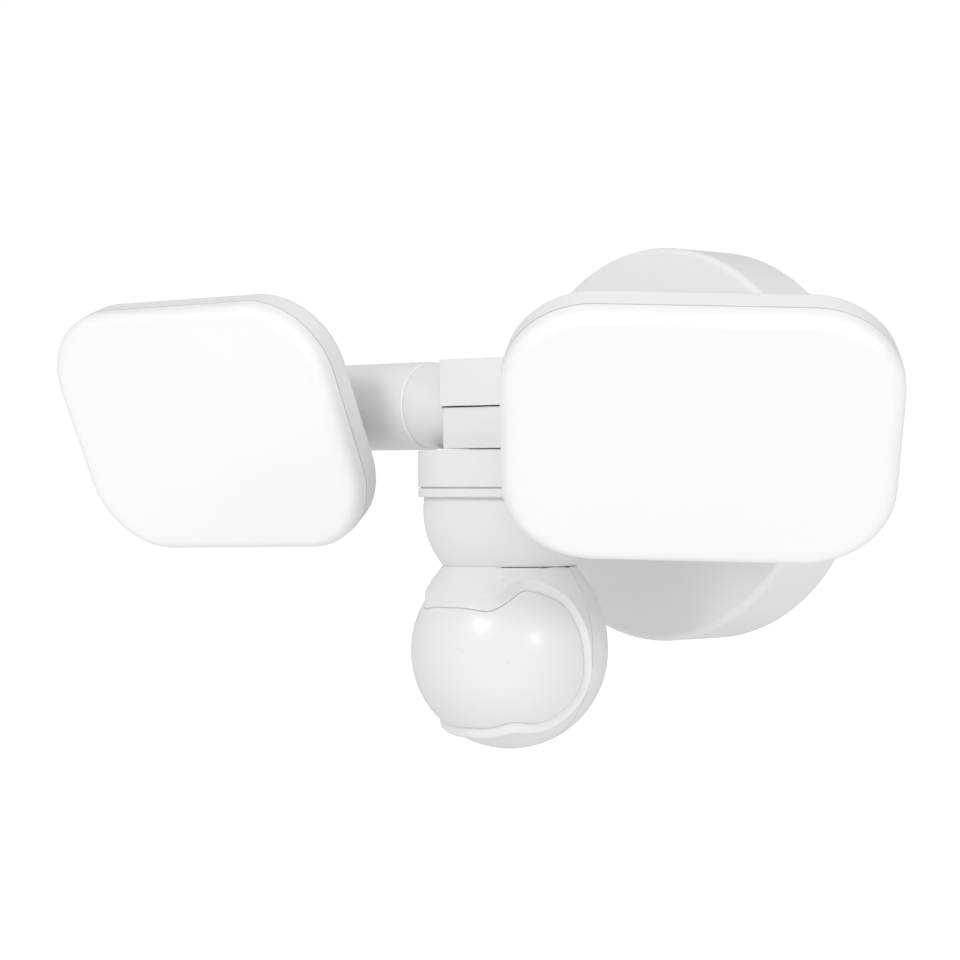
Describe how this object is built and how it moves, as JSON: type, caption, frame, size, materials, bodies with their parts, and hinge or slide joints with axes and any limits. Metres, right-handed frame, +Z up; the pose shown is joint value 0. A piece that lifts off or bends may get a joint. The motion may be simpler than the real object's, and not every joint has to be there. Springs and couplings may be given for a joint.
{
  "type": "floodlight security camera",
  "caption": "White wall floodlight: two tilting LED lamp heads on elbow arms, a round canopy, and a motion sensor ball that turns and tilts below the hub.",
  "frame": {"origin": "centre of the canopy's back, midway between the two wall-box screws, in the plane of the wall", "axes": "+Z up, the wall is the plane y = 0, the lamp stands out toward -Y, +X to the right of someone facing the wall"},
  "size_m": [0.3006, 0.1811, 0.1568],
  "materials": {
    "casing_white": "fine satin moulded, white",
    "diffuser_opal": "opal, satin",
    "lens_translucent": "milky, satin",
    "plug_white": "matte",
    "foam_seal": "closed-cell foam",
    "seal_rubber": "matte",
    "zinc_steel": "zinc plated",
    "screw_steel": "stainless",
    "spreader_aluminium": "rolled",
    "circuit_board": "solder mask",
    "component_dark": "moulded",
    "terminal_nylon": "moulded",
    "nylon_grey": "moulded",
    "led_board_white": "white solder mask",
    "led_phosphor": "clear over phosphor",
    "sensor_can": "plated",
    "dial_grey": "moulded"
  },
  "bodies": {
    "base": {"canopy": "casing_white", "wall_gasket": "foam_seal", "mounting_bracket": "zinc_steel", "canopy_screws": "screw_steel", "canopy_plugs": "plug_white", "driver_board": "circuit_board", "driver_components": "component_dark", "terminal_block": "terminal_nylon", "canopy_neck": "casing_white", "neck_nut": "zinc_steel", "hub_body": "casing_white", "hub_cap": "casing_white", "hub_cap_screws": "screw_steel", "hub_base": "casing_white", "base_screws": "screw_steel", "socket_ring": "casing_white"},
    "left_arm": {"left_arm_elbow": "casing_white", "left_arm_nut": "zinc_steel", "left_arm_seal": "seal_rubber"},
    "right_arm": {"right_arm_elbow": "casing_white", "right_arm_nut": "zinc_steel", "right_arm_seal": "seal_rubber"},
    "left_swivel": {"left_knuckle": "casing_white", "left_tilt_screw": "screw_steel"},
    "right_swivel": {"right_knuckle": "casing_white", "right_tilt_screw": "screw_steel"},
    "left_head": {"left_head_bracket": "casing_white", "left_bracket_screws": "screw_steel", "left_head_housing": "casing_white", "left_head_gasket": "seal_rubber", "left_heat_spreader": "spreader_aluminium", "left_led_board": "led_board_white", "left_leds": "led_phosphor", "left_board_screws": "screw_steel", "left_diffuser": "diffuser_opal", "left_back_screws": "screw_steel"},
    "right_head": {"right_head_bracket": "casing_white", "right_bracket_screws": "screw_steel", "right_head_housing": "casing_white", "right_head_gasket": "seal_rubber", "right_heat_spreader": "spreader_aluminium", "right_led_board": "led_board_white", "right_leds": "led_phosphor", "right_board_screws": "screw_steel", "right_diffuser": "diffuser_opal", "right_back_screws": "screw_steel"},
    "sensor_swivel": {"pan_yoke": "nylon_grey", "pan_nut": "zinc_steel"},
    "sensor": {"sensor_neck": "casing_white", "sensor_tilt_pin": "screw_steel", "sensor_front_shell": "casing_white", "sensor_rear_shell": "casing_white", "fresnel_lens": "lens_translucent", "sensor_board": "circuit_board", "pir_element": "sensor_can", "sensor_screws": "screw_steel"},
    "time_knob": {"time_dial": "dial_grey"},
    "range_knob": {"range_dial": "dial_grey"}
  },
  "joints": [
    {"name": "left_arm_turn", "type": "hinge", "parent": "base", "child": "left_arm", "pos_m": [0, -0.0951, 0.0118], "axis": [1, 0, 0], "range_deg": [-45, 45]},
    {"name": "right_arm_turn", "type": "hinge", "parent": "base", "child": "right_arm", "pos_m": [0, -0.0951, 0.0118], "axis": [1, 0, 0], "range_deg": [-45, 45]},
    {"name": "left_head_pan", "type": "hinge", "parent": "left_arm", "child": "left_swivel", "pos_m": [-0.0925, -0.1163, 0.0118], "axis": [0, 0, 1], "range_deg": [-61, 8.5]},
    {"name": "right_head_pan", "type": "hinge", "parent": "right_arm", "child": "right_swivel", "pos_m": [0.0925, -0.1163, 0.0118], "axis": [0, 0, 1], "range_deg": [-59, 10]},
    {"name": "left_head_tilt", "type": "hinge", "parent": "left_swivel", "child": "left_head", "pos_m": [-0.0925, -0.1163, 0.0118], "axis": [0.9813, 0.1925, 0], "range_deg": [-46, 23.5]},
    {"name": "right_head_tilt", "type": "hinge", "parent": "right_swivel", "child": "right_head", "pos_m": [0.0925, -0.1163, 0.0118], "axis": [0.7705, 0.6374, 0], "range_deg": [-57.5, 12]},
    {"name": "sensor_pan", "type": "hinge", "parent": "base", "child": "sensor_swivel", "pos_m": [0, -0.0951, -0.0206], "axis": [0, 0, 1], "range_deg": [-90, 90]},
    {"name": "sensor_tilt", "type": "hinge", "parent": "sensor_swivel", "child": "sensor", "pos_m": [0, -0.0951, -0.0206], "axis": [1, 0, 0], "range_deg": [-15, 15]},
    {"name": "time_dial_turn", "type": "hinge", "parent": "sensor", "child": "time_knob", "pos_m": [-0.0066, -0.0836, -0.0886], "axis": [0, 0, 1], "range_deg": [-130, 130]},
    {"name": "range_dial_turn", "type": "hinge", "parent": "sensor", "child": "range_knob", "pos_m": [0.0066, -0.0836, -0.0886], "axis": [0, 0, 1], "range_deg": [-130, 130]}
  ]
}
